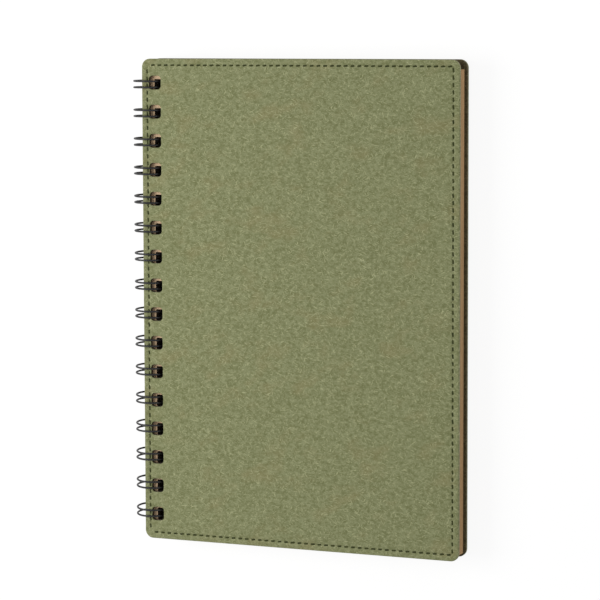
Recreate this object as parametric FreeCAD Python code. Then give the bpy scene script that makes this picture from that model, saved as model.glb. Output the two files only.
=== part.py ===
"""A5 notebook: two sewn covers and a block of kraft leaves on a twin-loop wire binding.

Sizes in millimetres. The notebook lies closed on its back cover. X runs from the spine to the fore-edge,
Y from the foot to the head of the page, Z up through the thickness, front cover outwards.
The origin is under the middle of the whole, at the height of the loops' lowest point.
"""
import FreeCAD, Part
import math
import os

# Leaves
leaf_width = 141.6
leaf_height = 206.0
block_thickness = 7.3       # where the leaves are held, at the spine
settle_start = 14.0         # leaves' spine edge to where they start to sink onto the back cover
settle_end = 46.0           # and to where they lie on it

# Covers: an outer panel glued to a lining, with a seam sewn through both
cover_past_spine = 3.1      # cover's edge beyond the leaves' edge
cover_past_fore = 1.3
cover_past_head = 4.2
cover_past_foot = 1.8
cover_corner_radius = 3.6
panel_thickness = 1.0
lining_thickness = 1.0
seam_inset = 2.8            # middle of the seam to the cover's head, foot and fore-edge
seam_spine_inset = 2.4      # middle of the seam to the spine edge, clear of the holes
seam_width = 0.8            # of the channel that the thread pulls into the panel
seam_depth = 0.35
thread_below_face = 0.1

# Twin-loop wire
loop_pitch = 12.7
loop_from_head = 7.0        # middle of the first loop to the leaves' head
loop_from_foot = 6.0        # least distance of the last loop's middle to the leaves' foot
wire_diameter = 0.9
twin_spacing = 2.8          # between the two wires of one loop
loop_proud = 1.15           # centre of the wire above the face of a closed cover
loop_drop = 0.8             # loops hang this far below the middle of the cover's holes
loop_step = 20.2            # degrees of one straight run of the loop's round
loop_runs = 17              # straight runs from a loop's root to its tip
root_angle = -31.0          # where a loop leaves its root bar, seen from the foot, 0 towards the fore-edge
root_bend = 0.8             # length along the bar that the corner at a root takes
wire_end = 1.2              # bar left on at each end of the wire
wire_sides = 6              # flats that the round wire is drawn with
tip_runs = 3                # straight runs of the half circle at a tip

# Line that each cover turns on, from the loops' axis
hinge_to_spine = 0.3
hinge_to_cover = 1.1        # towards the cover's own side
cover_turn = 180            # degrees that a cover opens

# Holes
hole_from_spine = 6.2       # middle of a cover hole to the spine edge
cover_hole_play = 0.5       # wire to a cover hole's long sides, at the nearest in the cover's whole turn
cover_hole_end_play = 0.35  # wire to the nearer end of a cover hole
cover_hole_corner = 1.6     # radius
hole_corner_runs = 4        # straight runs of a hole's round corner
leaf_hole_spine_play = 1.1
leaf_hole_fore_play = 0.6
leaf_hole_end_play = 0.4
bar_play = 0.15             # root bars to the last leaf and to the back cover

# Covers reach past the leaves on every side, and the leaves' length says how many loops hold them
cover_width = cover_past_spine + leaf_width + cover_past_fore
cover_height = cover_past_foot + leaf_height + cover_past_head
loop_count = 1 + math.floor((leaf_height - loop_from_head - loop_from_foot) / loop_pitch)
first_loop = cover_past_foot + leaf_height - loop_from_head
loop_ys = [first_loop - i * loop_pitch for i in reversed(range(loop_count))]
hole_ys = [y + loop_drop for y in loop_ys]

# Heights, counted from the loops' axis
wire_radius = wire_diameter / 2
cover_thickness = panel_thickness + lining_thickness
bar_gap = wire_diameter + 2 * bar_play
half_thickness = (2 * cover_thickness + block_thickness + bar_gap) / 2
inner_height = half_thickness - cover_thickness
bar_height = bar_gap / 2 - inner_height
loop_radius = half_thickness + loop_proud


def cover_pass(angle):
    """Where the wire passes through a cover opened by an angle, from the closed cover's place of the loops' axis."""
    turn = math.radians(angle)
    along = hinge_to_spine * (math.cos(turn) - 1) - hinge_to_cover * math.sin(turn)
    across = hinge_to_cover * (1 - math.cos(turn)) - hinge_to_spine * math.sin(turn)
    low = along + math.sqrt((loop_radius - wire_radius)**2 - (half_thickness - across)**2)
    high = along + math.sqrt((loop_radius + wire_radius)**2 - (inner_height - across)**2)
    return low, high


# The holes leave room for the wire at every angle of the cover
cover_passes = [cover_pass(angle) for angle in range(0, cover_turn + 1, 10)]
cover_pass_low = min(low for low, high in cover_passes)
cover_pass_high = max(high for low, high in cover_passes)
leaf_pass_low = math.sqrt((loop_radius - wire_radius)**2 - inner_height**2)
axis_from_spine = hole_from_spine - (cover_pass_low + cover_pass_high) / 2

cover_hole_width = cover_pass_high - cover_pass_low + 2 * cover_hole_play
cover_hole_height = twin_spacing + wire_diameter + 2 * (loop_drop + cover_hole_end_play)
leaf_hole_height = twin_spacing + wire_diameter + 2 * leaf_hole_end_play
leaf_hole_low = axis_from_spine + leaf_pass_low - leaf_hole_spine_play
leaf_hole_high = axis_from_spine + loop_radius + wire_radius + leaf_hole_fore_play


def rectangle(x_low, x_high, y_low, y_high):
    """Wire with square corners."""
    corners = [(x_low, y_low), (x_high, y_low), (x_high, y_high), (x_low, y_high), (x_low, y_low)]
    return Part.makePolygon([FreeCAD.Vector(x, y, 0) for x, y in corners])


def rounded_rectangle(x_low, x_high, y_low, y_high, radius):
    """Wire with an arc at each corner."""
    quarter = math.pi / 2
    centres = [
        (x_high - radius, y_low + radius, -quarter),
        (x_high - radius, y_high - radius, 0),
        (x_low + radius, y_high - radius, quarter),
        (x_low + radius, y_low + radius, math.pi),
    ]
    arcs = []
    for x, y, start in centres:
        circle = Part.Circle(FreeCAD.Vector(x, y, 0), FreeCAD.Vector(0, 0, 1), radius)
        arcs.append(Part.ArcOfCircle(circle, start, start + quarter))
    edges = []
    for arc, following in zip(arcs, arcs[1:] + arcs[:1]):
        edges.append(arc.toShape())
        edges.append(Part.LineSegment(arc.EndPoint, following.StartPoint).toShape())
    return Part.Wire(edges)


def oval(x, y, width, height, radius):
    """Wire of an oval hole, each corner's quarter turn drawn with a few straight runs."""
    points = []
    for corner in range(4):
        for run in range(hole_corner_runs + 1):
            turn = math.pi / 2 * (corner + run / hole_corner_runs)
            side_x, side_y = (1, -1, -1, 1)[corner], (1, 1, -1, -1)[corner]
            points.append(FreeCAD.Vector(
                x + side_x * (width / 2 - radius) + radius * math.cos(turn),
                y + side_y * (height / 2 - radius) + radius * math.sin(turn),
                0,
            ))
    return Part.makePolygon(points + points[:1])


def plate(outline, holes, z_low, z_high):
    """Flat plate between two heights, with the holes through it."""
    face = Part.makeFace([outline] + holes, "Part::FaceMakerBullseye")
    face.translate(FreeCAD.Vector(0, 0, z_low))
    return face.extrude(FreeCAD.Vector(0, 0, z_high - z_low))


def cover_outline():
    return rounded_rectangle(0, cover_width, 0, cover_height, cover_corner_radius)


def cover_holes():
    """Oval holes for the loops, long way along the spine."""
    return [
        oval(hole_from_spine, y, cover_hole_width, cover_hole_height, cover_hole_corner) for y in hole_ys
    ]


def seam(width, z_low, z_high):
    """Square-cornered ring along the cover's edges, where it is sewn."""
    def at(offset):
        return rectangle(
            seam_spine_inset + offset,
            cover_width - seam_inset - offset,
            seam_inset + offset,
            cover_height - seam_inset - offset,
        )
    return plate(at(-width / 2), [at(width / 2)], z_low, z_high)


def front_panel():
    """Outer sheet with the channel that the thread lies in."""
    sheet = plate(cover_outline(), cover_holes(), half_thickness - panel_thickness, half_thickness)
    return sheet.cut(seam(seam_width, half_thickness - seam_depth, half_thickness + seam_depth))


def front_lining():
    return plate(cover_outline(), cover_holes(), inner_height, half_thickness - panel_thickness)


def front_thread():
    return seam(seam_width, half_thickness - seam_depth, half_thickness - thread_below_face)


def to_back(shape):
    """The back cover's copy of a front cover piece, outer face down."""
    return shape.mirror(FreeCAD.Vector(0, 0, 0), FreeCAD.Vector(0, 0, 1))


def page_block():
    """The leaves as one solid, punched for the loops, held off the back cover by the bars at the spine only."""
    held_height = inner_height - block_thickness
    section = [
        (0, inner_height),
        (leaf_width, inner_height),
        (leaf_width, -inner_height),
        (settle_end, -inner_height),
        (settle_start, held_height),
        (0, held_height),
        (0, inner_height),
    ]
    outline = Part.makePolygon([FreeCAD.Vector(cover_past_spine + x, cover_past_foot, z) for x, z in section])
    stack = Part.Face(outline).extrude(FreeCAD.Vector(0, leaf_height, 0))
    reach = leaf_hole_height / 2
    punch = [
        plate(rectangle(leaf_hole_low, leaf_hole_high, y - reach, y + reach), [], held_height, inner_height)
        for y in loop_ys
    ]
    return stack.cut(Part.makeCompound(punch))


def round_point(angle, y):
    """Point of a loop's round, at an angle about its axis."""
    turn = math.radians(angle)
    return FreeCAD.Vector(
        axis_from_spine + loop_radius * math.cos(turn), y, loop_radius * math.sin(turn)
    )


def loop_path(y):
    """Centre line of one twin loop: root, round, tip, round again, root."""
    side = FreeCAD.Vector(0, twin_spacing / 2, 0)
    angles = [root_angle - i * loop_step for i in range(loop_runs + 1)]
    rise = [round_point(angle, y) for angle in angles]

    outward = (rise[0] - rise[1]).normalize()
    bar = rise[0] + outward * ((bar_height - rise[0].z) / outward.z)
    bar_start = bar + side + FreeCAD.Vector(0, root_bend, 0)
    bar_end = bar - side - FreeCAD.Vector(0, root_bend, 0)

    onward = (rise[-1] - rise[-2]).normalize()
    tip = []
    for i in range(1, tip_runs):
        turn = math.pi * i / tip_runs
        tip.append(rise[-1] - side * math.cos(turn) + onward * (twin_spacing / 2 * math.sin(turn)))
    return (
        [bar_end]
        + [p - side for p in rise]
        + tip
        + [p + side for p in reversed(rise)]
        + [bar_start]
    )


def twin_loop_wire():
    """One wire bent into a comb of twin loops, joined by bars between the leaves and the back cover."""
    path = [point for y in loop_ys for point in loop_path(y)]
    ends = FreeCAD.Vector(0, wire_end, 0)
    path = [path[0] - ends] + path + [path[-1] + ends]
    section = []
    for i in range(wire_sides + 1):
        turn = 2 * math.pi * i / wire_sides
        offset = FreeCAD.Vector(math.cos(turn), 0, math.sin(turn)) * wire_radius
        section.append(path[0] + offset)
    spine = Part.makePolygon(path)
    return spine.makePipeShell([Part.makePolygon(section)], True, False, 1)


def main():
    pieces = {
        "front_cover_panel": front_panel(),
        "front_cover_lining": front_lining(),
        "front_cover_thread": front_thread(),
        "back_cover_panel": to_back(front_panel()),
        "back_cover_lining": to_back(front_lining()),
        "back_cover_thread": to_back(front_thread()),
        "page_block": page_block(),
        "twin_loop_wire": twin_loop_wire(),
    }
    box = Part.makeCompound(list(pieces.values())).BoundBox
    to_origin = FreeCAD.Vector(-box.Center.x, -box.Center.y, -box.ZMin)
    os.makedirs("parts", exist_ok=True)
    for name, shape in pieces.items():
        shape.translate(to_origin)
        shape.exportStep("parts/" + name + ".step")


main()
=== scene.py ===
"""A5 notebook in bonded leather on a twin-loop wire, lying on a pale floor and seen from above its fore-edge.

The scene is in metres on the frame's own axes: X from the spine to the fore-edge, Y from the foot to the
head, Z up. Sizes of the notebook are written in millimetres, counted from the spine edge, the foot edge
and the loops' axis, and turned into the frame by at().
"""

import math
import random

import bpy
from mathutils import Matrix, Vector
from mathutils.geometry import delaunay_2d_cdt


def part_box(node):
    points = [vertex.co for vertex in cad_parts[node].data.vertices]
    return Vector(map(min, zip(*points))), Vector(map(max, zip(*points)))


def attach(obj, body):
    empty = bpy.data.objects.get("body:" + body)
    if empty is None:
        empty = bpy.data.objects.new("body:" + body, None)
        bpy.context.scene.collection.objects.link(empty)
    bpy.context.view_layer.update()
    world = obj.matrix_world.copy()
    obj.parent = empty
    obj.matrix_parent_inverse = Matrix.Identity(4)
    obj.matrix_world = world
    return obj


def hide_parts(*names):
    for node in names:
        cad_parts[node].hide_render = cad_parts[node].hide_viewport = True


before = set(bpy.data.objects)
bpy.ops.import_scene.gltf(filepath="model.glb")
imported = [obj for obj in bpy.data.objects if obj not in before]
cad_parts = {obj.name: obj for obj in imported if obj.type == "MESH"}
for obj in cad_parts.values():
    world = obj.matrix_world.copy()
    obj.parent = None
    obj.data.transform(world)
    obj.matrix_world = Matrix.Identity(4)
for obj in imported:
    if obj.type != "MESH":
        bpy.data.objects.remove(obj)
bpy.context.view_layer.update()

MM = 0.001
draw = random.Random(12)

# What the frame says of the notebook
front_low, front_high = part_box("front_cover_panel")
lining_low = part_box("front_cover_lining")[0]
back_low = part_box("back_cover_panel")[0]
block_low, block_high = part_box("page_block")
axis_z = (front_high.z + back_low.z) / 2
cover_width = (front_high.x - front_low.x) / MM
cover_height = (front_high.y - front_low.y) / MM
half_thickness = (front_high.z - axis_z) / MM
panel_thickness = (front_high.z - front_low.z) / MM
inner_height = (lining_low.z - axis_z) / MM
block_spine = (block_low.x - front_low.x) / MM
block_fore = (block_high.x - front_low.x) / MM
block_foot = (block_low.y - front_low.y) / MM
block_head = (block_high.y - front_low.y) / MM

# Covers
corner_radius = 3.6
edge_round = 0.45
rim_insets = (0.0, 0.04, 0.13, 0.26, 0.45)      # rings of points that draw the rounded outer edge
hole_edge_round = 0.27
hole_rim_growths = (0.0, 0.04, 0.13, 0.27)      # and those round each hole
face_waves = 0.03           # height of the leather's slow unevenness
wave_length = 24.0
wave_stretch = 1.3          # the waves are so much longer from foot to head
face_grid = 3.5             # between the points of the plain part of the face
grid_from_edge = 5.0
grid_from_hole = 1.5

# Seam
seam_inset = 2.8            # middle of the seam to the cover's head, foot and fore-edge
seam_spine_inset = 2.55     # and to the spine edge
stitch_pitch = 3.1
stitch_length = 2.35
stitch_length_spread = (0.94, 1.05)
stitch_width = 0.86
stitch_rise = 0.36          # thread's thickness
stitch_slant = 8.0          # degrees
stitch_slant_spread = 3.0
stitch_dip = 0.34           # how far a stitch's ends go down
corner_gap = 1.2            # bare length before and after the seam's two corners at the spine
stitch_sides = 10
stitch_steps = 7
thread_plies = 3
ply_relief = 0.10           # share of the thread's thickness
ply_twist = 1.6             # radians from a stitch's middle to its end
groove_depth = 0.16
groove_reach = 0.62
pull_depth = 0.30           # where the thread goes down into the leather
pull_reach = 0.36
needle_cell = 2.0           # needle points are looked up in squares of this side
seam_offsets = (0.14, 0.38, 0.7, 1.1)           # lines of points on each side of the seam
points_per_stitch = 8

# Twin-loop wire
loop_pitch = 12.7
loop_from_head = 7.0        # first loop to the leaves' head edge
loop_count = 16
wire_diameter = 0.84
spacing_at_root = 3.0
spacing_at_tip = 2.55
loop_radius = 7.4
loop_drop = 0.8             # first loop to the middle of its cover hole, which is nearer the head
root_angle = -31.0
loop_turn = 343.4
wire_end = 1.2
root_bend = 0.9
bar_height = -3.65
axis_from_spine = 1.5153
wire_sides = 12
loop_step = 6.0             # degrees
tip_steps = 10
wire_creep = 0.95           # the last loop stands so much nearer the head in its cover hole than the first
last_loop_lean = 0.65       # behind the spine the last loop leans so far to the head, the first not at all
lean_rise = (25.0, 95.0)    # degrees from the root between which the lean comes
lean_fall = (105.0, 235.0)  # and goes

# Holes
hole_from_spine = 6.2
hole_width = 5.59
hole_height = 6.0
hole_corner = 1.6
leaf_hole_low = 5.2
leaf_hole_high = 9.97
leaf_hole_height = 4.5
leaf_hole_corner = 0.5

# Leaves
leaf_layers = 38
settle_start = 14.0
settle_end = 46.0
settle_columns = 8
flat_columns = 5
leaf_rows = 24
held_height = -3.05         # underside of the block at the spine
leaf_stray = 0.13           # how far single leaves stand in or out
hole_stray = 0.04
leaf_gap = 0.06             # share of a layer that its rounded edges leave open above and below

# Rows of holes and loops, from head to foot
first_loop = block_head - loop_from_head
hole_ys = [first_loop + loop_drop - i * loop_pitch for i in range(loop_count)]
creeps = [wire_creep * i / (loop_count - 1) for i in range(loop_count)]
loop_ys = [first_loop - i * loop_pitch + creep for i, creep in enumerate(creeps)]


def at(x, y, z):
    """Point of the frame from millimetres off the spine edge, the foot edge and the loops' axis."""
    return Vector((front_low.x + x * MM, front_low.y + y * MM, axis_z + z * MM))


def linear(red, green, blue):
    """Scene colour of an sRGB colour given from 0 to 255."""
    def channel(value):
        value /= 255
        return value / 12.92 if value <= 0.04045 else ((value + 0.055) / 1.055) ** 2.4
    return (channel(red), channel(green), channel(blue), 1.0)


def smoothstep(low, high, value):
    """Soft step from 0 at the low value to 1 at the high one."""
    t = min(max((value - low) / (high - low), 0.0), 1.0)
    return t * t * (3 - 2 * t)


def add_mesh(name, points, faces, material, smooth_angle=40.0):
    """Mesh object from millimetre points, shaded smooth up to an angle."""
    mesh = bpy.data.meshes.new(name)
    mesh.from_pydata([at(*p) for p in points], [], faces)
    mesh.validate()
    mesh.polygons.foreach_set("use_smooth", [True] * len(mesh.polygons))
    mesh.set_sharp_from_angle(angle=math.radians(smooth_angle))
    mesh.materials.append(material)
    piece = bpy.data.objects.new(name, mesh)
    bpy.context.scene.collection.objects.link(piece)
    return piece


# Node helpers

class Nodes:
    """Short hand for building one material's node tree."""

    def __init__(self, name):
        self.material = bpy.data.materials.new(name)
        self.material.use_nodes = True
        self.tree = self.material.node_tree
        self.tree.nodes.clear()
        self.place = self.add("ShaderNodeTexCoord").outputs["Object"]

    def add(self, kind, **settings):
        node = self.tree.nodes.new(kind)
        for key, value in settings.items():
            setattr(node, key, value)
        return node

    def link(self, source, target):
        self.tree.links.new(source, target)

    def mapping(self, scale, turn=0.0, shift=(0, 0, 0)):
        """Object coordinates in millimetres, turned about Z and stretched."""
        node = self.add("ShaderNodeMapping")
        node.vector_type = "TEXTURE"
        self.link(self.place, node.inputs["Vector"])
        node.inputs["Location"].default_value = shift
        node.inputs["Rotation"].default_value = (0, 0, math.radians(turn))
        node.inputs["Scale"].default_value = [s * MM for s in scale]
        return node.outputs["Vector"]

    def noise(self, scale, turn=0.0, detail=2.0, roughness=0.5, shift=(0, 0, 0), distortion=0.0):
        """Noise whose spots are about the given size in millimetres."""
        node = self.add("ShaderNodeTexNoise")
        self.link(self.mapping(scale, turn, shift), node.inputs["Vector"])
        node.inputs["Scale"].default_value = 1.0
        node.inputs["Detail"].default_value = detail
        node.inputs["Roughness"].default_value = roughness
        node.inputs["Distortion"].default_value = distortion
        return node.outputs["Fac"]

    def ramp(self, value, low, high, to_low=0.0, to_high=1.0):
        """Soft step of a value, between the two outputs given."""
        node = self.add("ShaderNodeMapRange")
        node.interpolation_type = "SMOOTHSTEP"
        self.link(value, node.inputs["Value"])
        for key, number in zip(("From Min", "From Max", "To Min", "To Max"), (low, high, to_low, to_high)):
            node.inputs[key].default_value = number
        return node.outputs["Result"]

    def math(self, operation, first, second):
        node = self.add("ShaderNodeMath", operation=operation)
        for socket, value in zip(node.inputs, (first, second)):
            if isinstance(value, (int, float)):
                socket.default_value = value
            else:
                self.link(value, socket)
        return node.outputs[0]

    def mix(self, factor, first, second):
        """Mix of two colours, each a socket or an sRGB triple."""
        node = self.add("ShaderNodeMix", data_type="RGBA")
        self.link(factor, node.inputs["Factor"])
        for socket, value in ((node.inputs[6], first), (node.inputs[7], second)):
            if isinstance(value, tuple):
                socket.default_value = linear(*value)
            else:
                self.link(value, socket)
        return node.outputs[2]

    def finish(self, colour, roughness, bump=None, bump_mm=0.05, **values):
        """Principled shader with the colour, roughness and height given, and constants on its sockets."""
        shader = self.add("ShaderNodeBsdfPrincipled")
        output = self.add("ShaderNodeOutputMaterial")
        self.link(shader.outputs[0], output.inputs["Surface"])
        self.link(colour, shader.inputs["Base Color"])
        if isinstance(roughness, (int, float)):
            shader.inputs["Roughness"].default_value = roughness
        else:
            self.link(roughness, shader.inputs["Roughness"])
        if bump is not None:
            node = self.add("ShaderNodeBump")
            node.inputs["Distance"].default_value = bump_mm * MM
            self.link(bump, node.inputs["Height"])
            self.link(node.outputs["Normal"], shader.inputs["Normal"])
        for key, value in values.items():
            shader.inputs[key.replace("_", " ")].default_value = value
        return self.material


# Materials

def pressed_fibres(name, dark, light, fleck, warm, fleck_share=0.85, specular=0.28, sheen=0.06):
    """Pressed fibres: fine mottling, short pale fibres lying every way, and faint warm patches."""
    n = Nodes(name)
    grain = n.noise((1.6, 1.3, 1.5), detail=4.0, roughness=0.74)
    colour = n.mix(n.ramp(grain, 0.34, 0.66), dark, light)
    patches = n.noise((14, 9, 9), 20, detail=3.0, shift=(7, 2, 0))
    colour = n.mix(n.ramp(patches, 0.50, 0.75, 0.0, 0.45), colour, warm)
    fibres = None
    for i, turn in enumerate((-24, 3, 31, 68, 112, 150)):
        streak = n.noise((2.8, 0.34, 1.0), turn, detail=1.0, shift=(i * 0.13, i * 0.07, 0), distortion=0.35)
        streak = n.ramp(streak, 0.645, 0.75)
        fibres = streak if fibres is None else n.math("MAXIMUM", fibres, streak)
    specks = n.ramp(n.noise((0.7, 0.55, 0.7), detail=1.0, shift=(5, 5, 1)), 0.68, 0.80)
    colour = n.mix(n.math("MULTIPLY", fibres, fleck_share), colour, fleck)
    colour = n.mix(n.math("MULTIPLY", specks, 0.6), colour, dark)
    height = n.math("ADD", n.math("MULTIPLY", grain, 0.8), n.math("MULTIPLY", fibres, 0.5))
    roughness = n.ramp(grain, 0.3, 0.7, 0.86, 0.68)
    return n.finish(colour, roughness, height, 0.10, Specular_IOR_Level=specular, Sheen_Weight=sheen)


def sewing_thread():
    """Polyester thread, dark olive, a little glossy along its plies."""
    n = Nodes("thread")
    tone = n.noise((0.9, 0.9, 0.9), detail=2.0)
    colour = n.mix(n.ramp(tone, 0.3, 0.7), (40, 46, 16), (62, 66, 30))
    fuzz = n.noise((0.12, 0.12, 0.12), detail=2.0)
    return n.finish(colour, 0.75, fuzz, 0.03, Specular_IOR_Level=0.2)


def leaf_edges():
    """Cut edges of the leaves, with fine lines of darker and paler sheets."""
    n = Nodes("leaf_edges")
    fibres = n.noise((0.7, 0.5, 0.3), 15, detail=4.0, roughness=0.7)
    lines = n.noise((30.0, 30.0, 0.16), detail=2.0, roughness=0.8)
    colour = n.mix(n.ramp(fibres, 0.3, 0.7), (182, 148, 106), (206, 172, 128))
    colour = n.mix(n.ramp(lines, 0.42, 0.62, 0.0, 0.5), colour, (150, 114, 76))
    height = n.math("ADD", fibres, lines)
    return n.finish(colour, 0.85, height, 0.05, Specular_IOR_Level=0.2)


def black_wire():
    """Nylon-coated steel wire, satin black."""
    n = Nodes("black_wire")
    tone = n.noise((1.2, 1.2, 1.2), detail=2.0)
    colour = n.mix(n.ramp(tone, 0.35, 0.65), (16, 16, 17), (26, 26, 27))
    pits = n.noise((0.25, 0.25, 0.25), detail=2.0)
    return n.finish(colour, n.ramp(pits, 0.3, 0.7, 0.36, 0.50), pits, 0.01, Specular_IOR_Level=0.35)


leather = pressed_fibres(
    "cover_leather", (111, 115, 74), (137, 141, 101), (182, 184, 140), (135, 127, 85)
)
# Lining: a dark olive-brown of its own, darkened further as painted shade for the back cover's inner face
# where it shows beside the leaves at the fore-edge; both covers' inner faces carry the darkened colour.
lining = pressed_fibres(
    "cover_lining", (59, 52, 29), (79, 71, 44), (108, 101, 71), (77, 63, 40)
)
cut_board = pressed_fibres(
    "cut_board", (122, 113, 90), (146, 138, 114), (166, 158, 134), (134, 120, 96)
)
# Walls of the cover holes and of the leaves' holes: a dark brown that is painted shade for the inside of the
# holes, not the colour of the cut board or the paper.
hole_walls_painted_shade = pressed_fibres(
    "hole_walls_painted_shade", (46, 34, 18), (68, 51, 30), (82, 64, 42), (58, 43, 25)
)
thread = sewing_thread()
# Faces of the leaves: a lighter copy of the leaf edges' kraft colour, painted light that stands in for the
# light on the pages seen in the holes; the edges keep the plainer kraft tone.
paper = pressed_fibres(
    "kraft_paper", (214, 182, 146), (230, 200, 164), (238, 212, 180), (214, 178, 138), 0.5, 0.15, 0.0
)
paper_edge = leaf_edges()
wire_black = black_wire()


# Covers

def oval_distance(x, y, width, height, radius):
    """Distance outside an upright oval's outline about the origin, negative inside it."""
    over_x = abs(x) - (width / 2 - radius)
    over_y = abs(y) - (height / 2 - radius)
    return math.hypot(max(over_x, 0), max(over_y, 0)) + min(max(over_x, over_y), 0) - radius


def outline_distance(x, y):
    """Distance inside the cover's outline."""
    return -oval_distance(x - cover_width / 2, y - cover_height / 2, cover_width, cover_height, corner_radius)


def hole_distance(x, y):
    """Distance outside the nearest hole."""
    nearest = min(hole_ys, key=lambda hole_y: abs(hole_y - y))
    return oval_distance(x - hole_from_spine, y - nearest, hole_width, hole_height, hole_corner)


def oval_ring(x, y, width, height, radius, grow=0.0, corner_steps=8, side_step=50.0):
    """Points round an upright oval, anticlockwise, its sides cut into steps."""
    reach_x, reach_y = width / 2 - radius, height / 2 - radius
    arcs = []
    for corner, (side_x, side_y) in enumerate(((1, 1), (-1, 1), (-1, -1), (1, -1))):
        for step in range(corner_steps + 1):
            turn = math.pi / 2 * (corner + step / corner_steps)
            arcs.append((
                x + side_x * reach_x + (radius + grow) * math.cos(turn),
                y + side_y * reach_y + (radius + grow) * math.sin(turn),
            ))
    ring = []
    for start, end in zip(arcs, arcs[1:] + arcs[:1]):
        ring.append(start)
        pieces = max(1, round(math.dist(start, end) / side_step))
        for i in range(1, pieces):
            ring.append((
                start[0] + (end[0] - start[0]) * i / pieces,
                start[1] + (end[1] - start[1]) * i / pieces,
            ))
    return ring


def seam_rows():
    """Each side of the seam: its start, its direction and its length."""
    low_x, high_x = seam_spine_inset, cover_width - seam_inset
    low_y, high_y = seam_inset, cover_height - seam_inset
    return [
        ((low_x + corner_gap, high_y), (1, 0), high_x - low_x - corner_gap),
        ((high_x, high_y), (0, -1), high_y - low_y),
        ((high_x, low_y), (-1, 0), high_x - low_x - corner_gap),
        ((low_x, low_y + corner_gap), (0, 1), high_y - low_y - 2 * corner_gap),
    ]


def stitches():
    """Middle and direction of every stitch."""
    places = []
    for (x, y), (along_x, along_y), length in seam_rows():
        count = round(length / stitch_pitch)
        step = length / count
        for i in range(count):
            way = (i + 0.5) * step
            places.append((x + along_x * way, y + along_y * way, along_x, along_y))
    return places


stitch_places = stitches()
needle_points = {}
for stitch_x, stitch_y, stitch_along_x, stitch_along_y in stitch_places:
    for end in (-0.5, 0.5):
        point = (
            stitch_x + stitch_along_x * end * stitch_length,
            stitch_y + stitch_along_y * end * stitch_length,
        )
        cell = (round(point[0] / needle_cell), round(point[1] / needle_cell))
        needle_points.setdefault(cell, []).append(point)


def pull(x, y):
    """How deep the nearest needle holes pull the leather down."""
    depth = 0.0
    cell_x, cell_y = round(x / needle_cell), round(y / needle_cell)
    for near_x in (cell_x - 1, cell_x, cell_x + 1):
        for near_y in (cell_y - 1, cell_y, cell_y + 1):
            for point in needle_points.get((near_x, near_y), ()):
                away = math.dist(point, (x, y)) / pull_reach
                depth = max(depth, pull_depth * math.exp(-away * away))
    return depth


def seam_distance(x, y):
    """Distance to the seam's line."""
    middle_x = (seam_spine_inset + cover_width - seam_inset) / 2
    width = cover_width - seam_inset - seam_spine_inset
    height = cover_height - 2 * seam_inset
    return abs(oval_distance(x - middle_x, y - cover_height / 2, width, height, 0.0))


def rounded_drop(distance, radius):
    """How far a rounded edge of that radius falls, at a distance inside the edge."""
    over = max(radius - max(distance, 0.0), 0.0)
    return radius - math.sqrt(radius * radius - over * over)


def face_height(x, y):
    """Height of a cover's face at a point, against the flat face, never above it."""
    drop = rounded_drop(outline_distance(x, y), edge_round)
    drop += rounded_drop(hole_distance(x, y), hole_edge_round)
    away = seam_distance(x, y) / groove_reach
    if away < 3:
        drop += max(groove_depth * math.exp(-away * away), pull(x, y))
    wave = math.sin(x * 2 * math.pi / wave_length + 1)
    wave *= math.sin(y * 2 * math.pi / (wave_length * wave_stretch) + 2)
    return -drop - face_waves * (0.5 + 0.5 * wave)


def face_points():
    """Rings and points that a cover's face is made from, and the edges that hold its outline and holes."""
    points, edges = [], []

    def add_ring(ring):
        start = len(points)
        points.extend(ring)
        edges.extend((start + i, start + (i + 1) % len(ring)) for i in range(len(ring)))

    middle = (cover_width / 2, cover_height / 2, cover_width, cover_height, corner_radius)
    for inset in rim_insets:
        add_ring(oval_ring(*middle, grow=-inset, side_step=3.0))
    for y in hole_ys:
        for grow in hole_rim_growths:
            add_ring(oval_ring(hole_from_spine, y, hole_width, hole_height, hole_corner, grow=grow))
    for (x, y), (along_x, along_y), length in seam_rows():
        count = round(length / stitch_pitch) * points_per_stitch
        for i in range(count + 1):
            way = length * i / count
            for across in [-offset for offset in reversed(seam_offsets)] + list(seam_offsets):
                point = (
                    x + along_x * way + along_y * across,
                    y + along_y * way - along_x * across,
                )
                if outline_distance(*point) > edge_round and hole_distance(*point) > hole_edge_round:
                    points.append(point)
    for i in range(1, int(cover_width / face_grid)):
        for j in range(1, int(cover_height / face_grid)):
            point = (i * face_grid, j * face_grid)
            if outline_distance(*point) > grid_from_edge and hole_distance(*point) > grid_from_hole:
                points.append(point)
    return points, edges


def triangulate(points, edges, keep):
    """Triangles over the points whose middles pass the keep test, all facing up."""
    made = delaunay_2d_cdt([Vector(p) for p in points], edges, [], 0, 1e-5)
    flat = [(p.x, p.y) for p in made[0]]
    faces = []
    for face in made[2]:
        x = sum(flat[i][0] for i in face) / len(face)
        y = sum(flat[i][1] for i in face) / len(face)
        if keep(x, y):
            (ax, ay), (bx, by), (cx, cy) = (flat[i] for i in face[:3])
            upward = (bx - ax) * (cy - ay) - (by - ay) * (cx - ax) > 0
            faces.append(tuple(face) if upward else tuple(reversed(face)))
    return flat, faces


def cover_faces():
    """Worked face of a cover, shared by every panel and lining: flat points, heights and triangles."""
    points, edges = face_points()
    flat, faces = triangulate(points, edges, lambda x, y: hole_distance(x, y) > 0)
    return flat, [face_height(x, y) for x, y in flat], faces


face_flat, face_heights, face_triangles = cover_faces()


def boundary_edges(faces):
    """Directed edges that only one face has."""
    seen = dict.fromkeys(edge for face in faces for edge in zip(face, face[1:] + face[:1]))
    return [(a, b) for a, b in seen if (b, a) not in seen]


face_boundary = boundary_edges(face_triangles)


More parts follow.
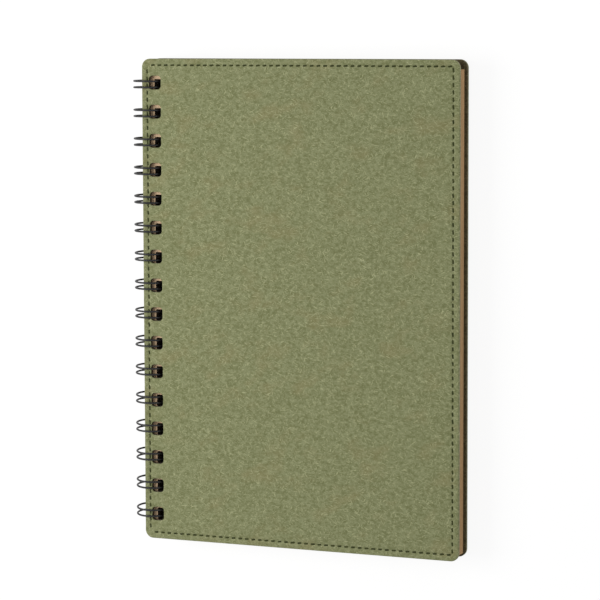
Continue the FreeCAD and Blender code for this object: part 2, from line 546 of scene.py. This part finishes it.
def cover_sheet(name, face_z, glued_z, material, edge_material):
    """Closed sheet between its worked face and its glued face, with the look of its cut edges and painted
    shade on the walls of its holes.
    """
    up = face_z > glued_z
    sign = 1 if up else -1
    points = [(x, y, face_z + sign * h) for (x, y), h in zip(face_flat, face_heights)]
    rim = sorted({i for edge in face_boundary for i in edge})
    glued = {}
    for i in rim:
        glued[i] = len(points)
        points.append((face_flat[i][0], face_flat[i][1], glued_z))
    rim_points = [face_flat[i] for i in rim]
    order = {i: k for k, i in enumerate(rim)}
    rim_edges = [(order[a], order[b]) for a, b in face_boundary]
    under_flat, under_faces = triangulate(
        rim_points, rim_edges, lambda x, y: hole_distance(x, y) > 0
    )
    place = {(round(x, 4), round(y, 4)): glued[i] for i, (x, y) in zip(rim, rim_points)}
    under = [place[(round(x, 4), round(y, 4))] for x, y in under_flat]
    faces = list(face_triangles)
    faces += [(b, a, glued[a], glued[b]) for a, b in face_boundary]
    faces += [tuple(under[i] for i in reversed(face)) for face in under_faces]
    if not up:
        faces = [tuple(reversed(face)) for face in faces]
    piece = add_mesh(name, points, faces, material, smooth_angle=50.0)
    piece.data.materials.append(edge_material)
    piece.data.materials.append(hole_walls_painted_shade)
    # Outer cut edges take the edge material; the walls of the holes take the dark material that paints their
    # shade.
    for i, (a, b) in enumerate(face_boundary):
        in_hole = hole_distance(*face_flat[a]) < edge_round
        piece.data.polygons[len(face_triangles) + i].material_index = 2 if in_hole else 1
    return piece


def stitch_points(x, y, along_x, along_y, face_z, sign, points, faces):
    """One stitch: plies twisted into a thread that comes out of the leather and goes down into it again."""
    slant = math.radians(stitch_slant + draw.uniform(-stitch_slant_spread, stitch_slant_spread)) * sign
    dir_x = along_x * math.cos(slant) - along_y * math.sin(slant)
    dir_y = along_x * math.sin(slant) + along_y * math.cos(slant)
    length = stitch_length * draw.uniform(*stitch_length_spread)
    phase = draw.uniform(0, math.pi)
    start = len(points)
    for step in range(stitch_steps + 1):
        t = step / stitch_steps * 2 - 1
        swell = math.sqrt(max(1 - abs(t) ** 5, 0.02))
        way = t * length / 2
        dip = stitch_dip * abs(t) ** 4
        for side in range(stitch_sides):
            turn = 2 * math.pi * side / stitch_sides
            ply = 1 + ply_relief * math.cos(thread_plies * (turn + t * ply_twist) + phase)
            across = math.cos(turn) * stitch_width / 2 * swell * ply
            rise = math.sin(turn) * stitch_rise / 2 * swell * ply
            points.append((
                x + dir_x * way - dir_y * across,
                y + dir_y * way + dir_x * across,
                face_z + sign * (rise - groove_depth - dip),
            ))
    flip = sign < 0
    for step in range(stitch_steps):
        for side in range(stitch_sides):
            a = start + step * stitch_sides + side
            b = start + step * stitch_sides + (side + 1) % stitch_sides
            face = (a, b, b + stitch_sides, a + stitch_sides)
            faces.append(tuple(reversed(face)) if not flip else face)
    first = tuple(range(start, start + stitch_sides))
    last = tuple(range(len(points) - stitch_sides, len(points)))
    faces.append(first if not flip else tuple(reversed(first)))
    faces.append(tuple(reversed(last)) if not flip else last)


def seam_thread(name, outer_z, inner_z):
    """All stitches of one cover, on its outer and its inner face."""
    points, faces = [], []
    outward = 1 if outer_z > inner_z else -1
    for face_z, sign in ((outer_z, outward), (inner_z, -outward)):
        for place in stitch_places:
            stitch_points(*place, face_z, sign, points, faces)
    return add_mesh(name, points, faces, thread, smooth_angle=70.0)


def cover(side, sign):
    """Panel, lining and thread of one cover, each in place of its plain solid."""
    outer, inner = sign * half_thickness, sign * inner_height
    glued = sign * (half_thickness - panel_thickness)
    body = side + "_cover"
    pieces = (
        (cover_sheet(side + "_leather", outer, glued, leather, leather), body + "_panel", "cover_leather"),
        (cover_sheet(side + "_backing", inner, glued, lining, cut_board), body + "_lining", "cover_lining"),
        (seam_thread(side + "_stitches", outer, inner), body + "_thread", "thread"),
    )
    for piece, node, slot in pieces:
        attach(piece, body)
        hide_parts(node)


# Leaves

def block_underside(x):
    """Height of the block's underside: held up by the bars at the spine, lying on the cover further out."""
    settled = smoothstep(settle_start, settle_end, x - block_spine)
    return held_height - (held_height + inner_height) * settled


def leaves():
    """Block of leaves: each layer's edges stand a little in or out, and the holes follow."""
    settling, flat_width = settle_end - settle_start, block_fore - block_spine - settle_end
    columns = [0.0] + [settle_start + settling * i / settle_columns for i in range(settle_columns + 1)]
    columns += [settle_end + flat_width * i / flat_columns for i in range(1, flat_columns + 1)]
    columns = [block_spine + x for x in columns]
    rows = [block_foot + (block_head - block_foot) * i / leaf_rows for i in range(leaf_rows + 1)]
    outer = [(x, block_foot) for x in columns[:-1]] + [(block_fore, y) for y in rows[:-1]]
    outer += [(x, block_head) for x in reversed(columns[1:])] + [(block_spine, y) for y in reversed(rows[1:])]
    middle_x = (leaf_hole_low + leaf_hole_high) / 2
    width = leaf_hole_high - leaf_hole_low
    holes = [(y - creep / 2, leaf_hole_height + creep) for y, creep in zip(loop_ys, creeps)]
    rings = [outer] + [
        oval_ring(middle_x, y, width, height, leaf_hole_corner, corner_steps=3) for y, height in holes
    ]
    flat = [point for ring in rings for point in ring]
    edges, start = [], 0
    for ring in rings:
        edges += [(start + i, start + (i + 1) % len(ring)) for i in range(len(ring))]
        start += len(ring)

    def outside_holes(x, y):
        hole_y, height = min(holes, key=lambda hole: abs(hole[0] - y))
        return oval_distance(x - middle_x, y - hole_y, width, height, leaf_hole_corner) > 0

    made_flat, triangles = triangulate(flat, edges, outside_holes)
    index = {(round(x, 4), round(y, 4)): i for i, (x, y) in enumerate(flat)}
    same = [index[(round(x, 4), round(y, 4))] for x, y in made_flat]
    triangles = [tuple(same[i] for i in face) for face in triangles]
    mid_x, mid_y = (block_spine + block_fore) / 2, (block_foot + block_head) / 2
    points = []
    for layer in range(leaf_layers):
        in_x, in_y = draw.uniform(0, leaf_stray), draw.uniform(0, leaf_stray)
        hole_shift = draw.uniform(-hole_stray, hole_stray)
        for level in (layer + leaf_gap, layer + 1 - leaf_gap):
            for i, (x, y) in enumerate(flat):
                height = block_underside(x)
                z = height + (inner_height - height) * level / leaf_layers
                if i < len(outer):
                    x -= math.copysign(in_x, x - mid_x) if x in (block_spine, block_fore) else 0
                    y -= math.copysign(in_y, y - mid_y) if y in (block_foot, block_head) else 0
                else:
                    x += hole_shift
                points.append((x, y, z))
    count = len(flat)
    top = count * (2 * leaf_layers - 1)
    faces = [tuple(reversed(face)) for face in triangles]
    faces += [tuple(top + i for i in face) for face in triangles]
    walls = boundary_edges(triangles)
    for level in range(2 * leaf_layers - 1):
        low, high = level * count, (level + 1) * count
        faces += [(low + a, low + b, high + b, high + a) for a, b in walls]
    # Faces take the lighter kraft with painted light; outer walls take the plainer kraft of the leaf edges.
    piece = add_mesh("leaves", points, faces, paper, smooth_angle=20.0)
    piece.data.materials.append(paper_edge)
    piece.data.materials.append(hole_walls_painted_shade)
    # Walls of the leaves' holes take the dark material that paints the shade inside the holes.
    for i, polygon in enumerate(piece.data.polygons[2 * len(triangles):]):
        in_hole = walls[i % len(walls)][0] >= len(outer)
        polygon.material_index = 2 if in_hole else 1
    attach(piece, "book_block")
    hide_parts("page_block")


# Twin-loop wire

def loop_point(angle, y, side):
    """Point of the wire on a loop's round. Its two wires come closer towards its tip, and its back leans."""
    done = (root_angle - angle) / loop_turn
    half = (spacing_at_root + (spacing_at_tip - spacing_at_root) * done) / 2
    from_head = (loop_ys[0] - y) / (loop_ys[0] - loop_ys[-1])
    lean = last_loop_lean * from_head
    lean *= smoothstep(*lean_rise, root_angle - angle) - smoothstep(*lean_fall, root_angle - angle)
    turn = math.radians(angle)
    return Vector((
        axis_from_spine + loop_radius * math.cos(turn), y + lean + side * half, loop_radius * math.sin(turn)
    ))


def bend(start, corner, end, steps=5):
    """Points of a soft corner, its ends left out."""
    made = []
    for i in range(1, steps):
        t = i / steps
        made.append(start * (1 - t) ** 2 + corner * 2 * t * (1 - t) + end * t * t)
    return made


def wire_line():
    """Centre line of the whole wire, from the last loop to the first."""
    steps = round(loop_turn / loop_step)
    angles = [root_angle - loop_turn * i / steps for i in range(steps + 1)]
    line = []
    for y in reversed(loop_ys):
        for side in (-1, 1):
            rise = [loop_point(angle, y, side) for angle in angles]
            outward = (rise[0] - rise[1]).normalized()
            corner = rise[0] + outward * ((bar_height - rise[0].z) / outward.z)
            along = Vector((0, side * root_bend, 0))
            root = [corner + along] + bend(corner + along, corner, rise[0]) + rise
            if side < 0:
                line += root
                tip_middle = (rise[-1] + loop_point(angles[-1], y, 1)) / 2
                onward = (rise[-1] - rise[-2]).normalized()
                half = (tip_middle - rise[-1]).length
                for i in range(1, tip_steps):
                    turn = math.pi * i / tip_steps
                    line.append(
                        tip_middle - Vector((0, half * math.cos(turn), 0)) + onward * (half * math.sin(turn))
                    )
            else:
                line += reversed(root)
    ends = Vector((0, wire_end, 0))
    return [line[0] - ends] + line + [line[-1] + ends]


def twin_loop_wire():
    """Round wire drawn along its line, with closed ends."""
    line = wire_line()
    radius = wire_diameter / 2
    points, faces = [], []
    across = Vector((1, 0, 0))
    for i, here in enumerate(line):
        ahead = (line[min(i + 1, len(line) - 1)] - line[max(i - 1, 0)]).normalized()
        across = (across - ahead * across.dot(ahead)).normalized()
        up = ahead.cross(across)
        for side in range(wire_sides):
            turn = 2 * math.pi * side / wire_sides
            points.append(tuple(here + (across * math.cos(turn) + up * math.sin(turn)) * radius))
    for i in range(len(line) - 1):
        for side in range(wire_sides):
            a, b = i * wire_sides + side, i * wire_sides + (side + 1) % wire_sides
            faces.append((a, b, b + wire_sides, a + wire_sides))
    faces.append(tuple(reversed(range(wire_sides))))
    faces.append(tuple(range(len(points) - wire_sides, len(points))))
    piece = add_mesh("comb_wire", points, faces, wire_black, smooth_angle=60.0)
    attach(piece, "book_block")
    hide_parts("twin_loop_wire")


# Stage

def camera():
    """Camera above the fore-edge side, which sees the notebook upright with its fore-edge nearer."""
    place, target = Vector((0.41494, 0.12427, 1.04124)), Vector((-0.00242, 0.02078, 0.0070))
    roll = 0.0031
    focal_pixels, frame_pixels = 2590.5, 600
    data = bpy.data.cameras.new("camera")
    data.sensor_width = 36.0
    data.lens = focal_pixels * data.sensor_width / frame_pixels
    data.shift_x, data.shift_y = 0.0141, -0.0725
    data.clip_start, data.clip_end = 0.05, 20.0
    eye = bpy.data.objects.new("camera", data)
    bpy.context.scene.collection.objects.link(eye)
    ahead = (target - place).normalized()
    right = ahead.cross(Vector((0, 1, 0))).normalized()
    up = right.cross(ahead)
    turn = -roll
    right, up = right * math.cos(turn) + up * math.sin(turn), up * math.cos(turn) - right * math.sin(turn)
    matrix = Matrix((right, up, -ahead)).transposed().to_4x4()
    matrix.translation = place
    eye.matrix_world = matrix
    bpy.context.scene.camera = eye


def seen_directly(tree):
    """Factor of 1 for rays from the camera, and for those that a gloss or clear surface sends on."""
    path = tree.nodes.new("ShaderNodeLightPath")
    total = path.outputs["Is Camera Ray"]
    for name in ("Is Glossy Ray", "Is Transmission Ray"):
        largest = tree.nodes.new("ShaderNodeMath")
        largest.operation = "MAXIMUM"
        tree.links.new(total, largest.inputs[0])
        tree.links.new(path.outputs[name], largest.inputs[1])
        total = largest.outputs[0]
    return total


def floor():
    """Pale floor that shows white away from the notebook and keeps its soft shadow."""
    reach, grey, glow = 4.0, 0.82, 1.07
    white_from, white_to, near_share = 0.16, 0.34, 0.84
    holes_x = at(hole_from_spine, 0, 0).x
    dark_half_width, dark_half_length = 0.010, 0.098    # floor under the holes, seen through them alone
    mesh = bpy.data.meshes.new("floor")
    below = -0.00002
    corners = ((-reach, -reach), (reach, -reach), (reach, reach), (-reach, reach))
    mesh.from_pydata([(x, y, below) for x, y in corners], [], [(0, 1, 2, 3)])
    n = Nodes("pale_floor")
    mesh.materials.append(n.material)
    diffuse = n.add("ShaderNodeBsdfDiffuse")
    diffuse.inputs["Color"].default_value = (grey, grey, grey, 1)
    white = n.add("ShaderNodeEmission")
    white.inputs["Strength"].default_value = glow
    length = n.add("ShaderNodeVectorMath", operation="LENGTH")
    n.link(n.place, length.inputs[0])
    away = n.ramp(length.outputs["Value"], white_from, white_to, near_share, 1.0)
    sides = n.add("ShaderNodeSeparateXYZ")
    n.link(n.place, sides.inputs[0])
    from_holes = n.math("ABSOLUTE", n.math("SUBTRACT", sides.outputs["X"], holes_x), 0.0)
    past_side = n.math("GREATER_THAN", from_holes, dark_half_width)
    past_end = n.math("GREATER_THAN", n.math("ABSOLUTE", sides.outputs["Y"], 0.0), dark_half_length)
    open_floor = n.math("MULTIPLY", away, n.math("MAXIMUM", past_side, past_end))
    factor = n.math("MULTIPLY", open_floor, seen_directly(n.tree))
    mixed = n.add("ShaderNodeMixShader")
    n.link(factor, mixed.inputs["Fac"])
    n.link(diffuse.outputs[0], mixed.inputs[1])
    n.link(white.outputs[0], mixed.inputs[2])
    output = n.add("ShaderNodeOutputMaterial")
    n.link(mixed.outputs[0], output.inputs["Surface"])
    piece = bpy.data.objects.new("floor", mesh)
    bpy.context.scene.collection.objects.link(piece)


def studio_light():
    """Even light from all round, and one large soft lamp from the upper left."""
    world = bpy.data.worlds.new("studio")
    world.use_nodes = True
    tree = world.node_tree
    background = tree.nodes["Background"]
    background.inputs["Color"].default_value = (1, 1, 1, 1)
    fill, shown_white = 0.42, 1.0
    strength = tree.nodes.new("ShaderNodeMapRange")
    tree.links.new(seen_directly(tree), strength.inputs["Value"])
    strength.inputs["To Min"].default_value = fill
    strength.inputs["To Max"].default_value = shown_white
    tree.links.new(strength.outputs["Result"], background.inputs["Strength"])
    bpy.context.scene.world = world

    soft_lamp("key", (-0.53, 0.04, 0.54), (0.45, 0.45), 4.1)
    soft_lamp("rim", (0.48, 0.50, 0.12), (0.4, 0.10), 1.1)


def soft_lamp(name, place, size, power):
    """Rectangular lamp aimed at the notebook's middle, not seen itself."""
    lamp = bpy.data.lights.new(name, "AREA")
    lamp.shape = "RECTANGLE"
    lamp.size, lamp.size_y = size
    lamp.energy = power
    holder = bpy.data.objects.new(name, lamp)
    bpy.context.scene.collection.objects.link(holder)
    holder.matrix_world = (-Vector(place)).to_track_quat("-Z", "Y").to_matrix().to_4x4()
    holder.location = place
    holder.visible_camera = False


camera()
floor()
studio_light()
cover("front", 1)
cover("back", -1)
leaves()
twin_loop_wire()

scene = bpy.context.scene
scene.view_settings.view_transform = "Standard"
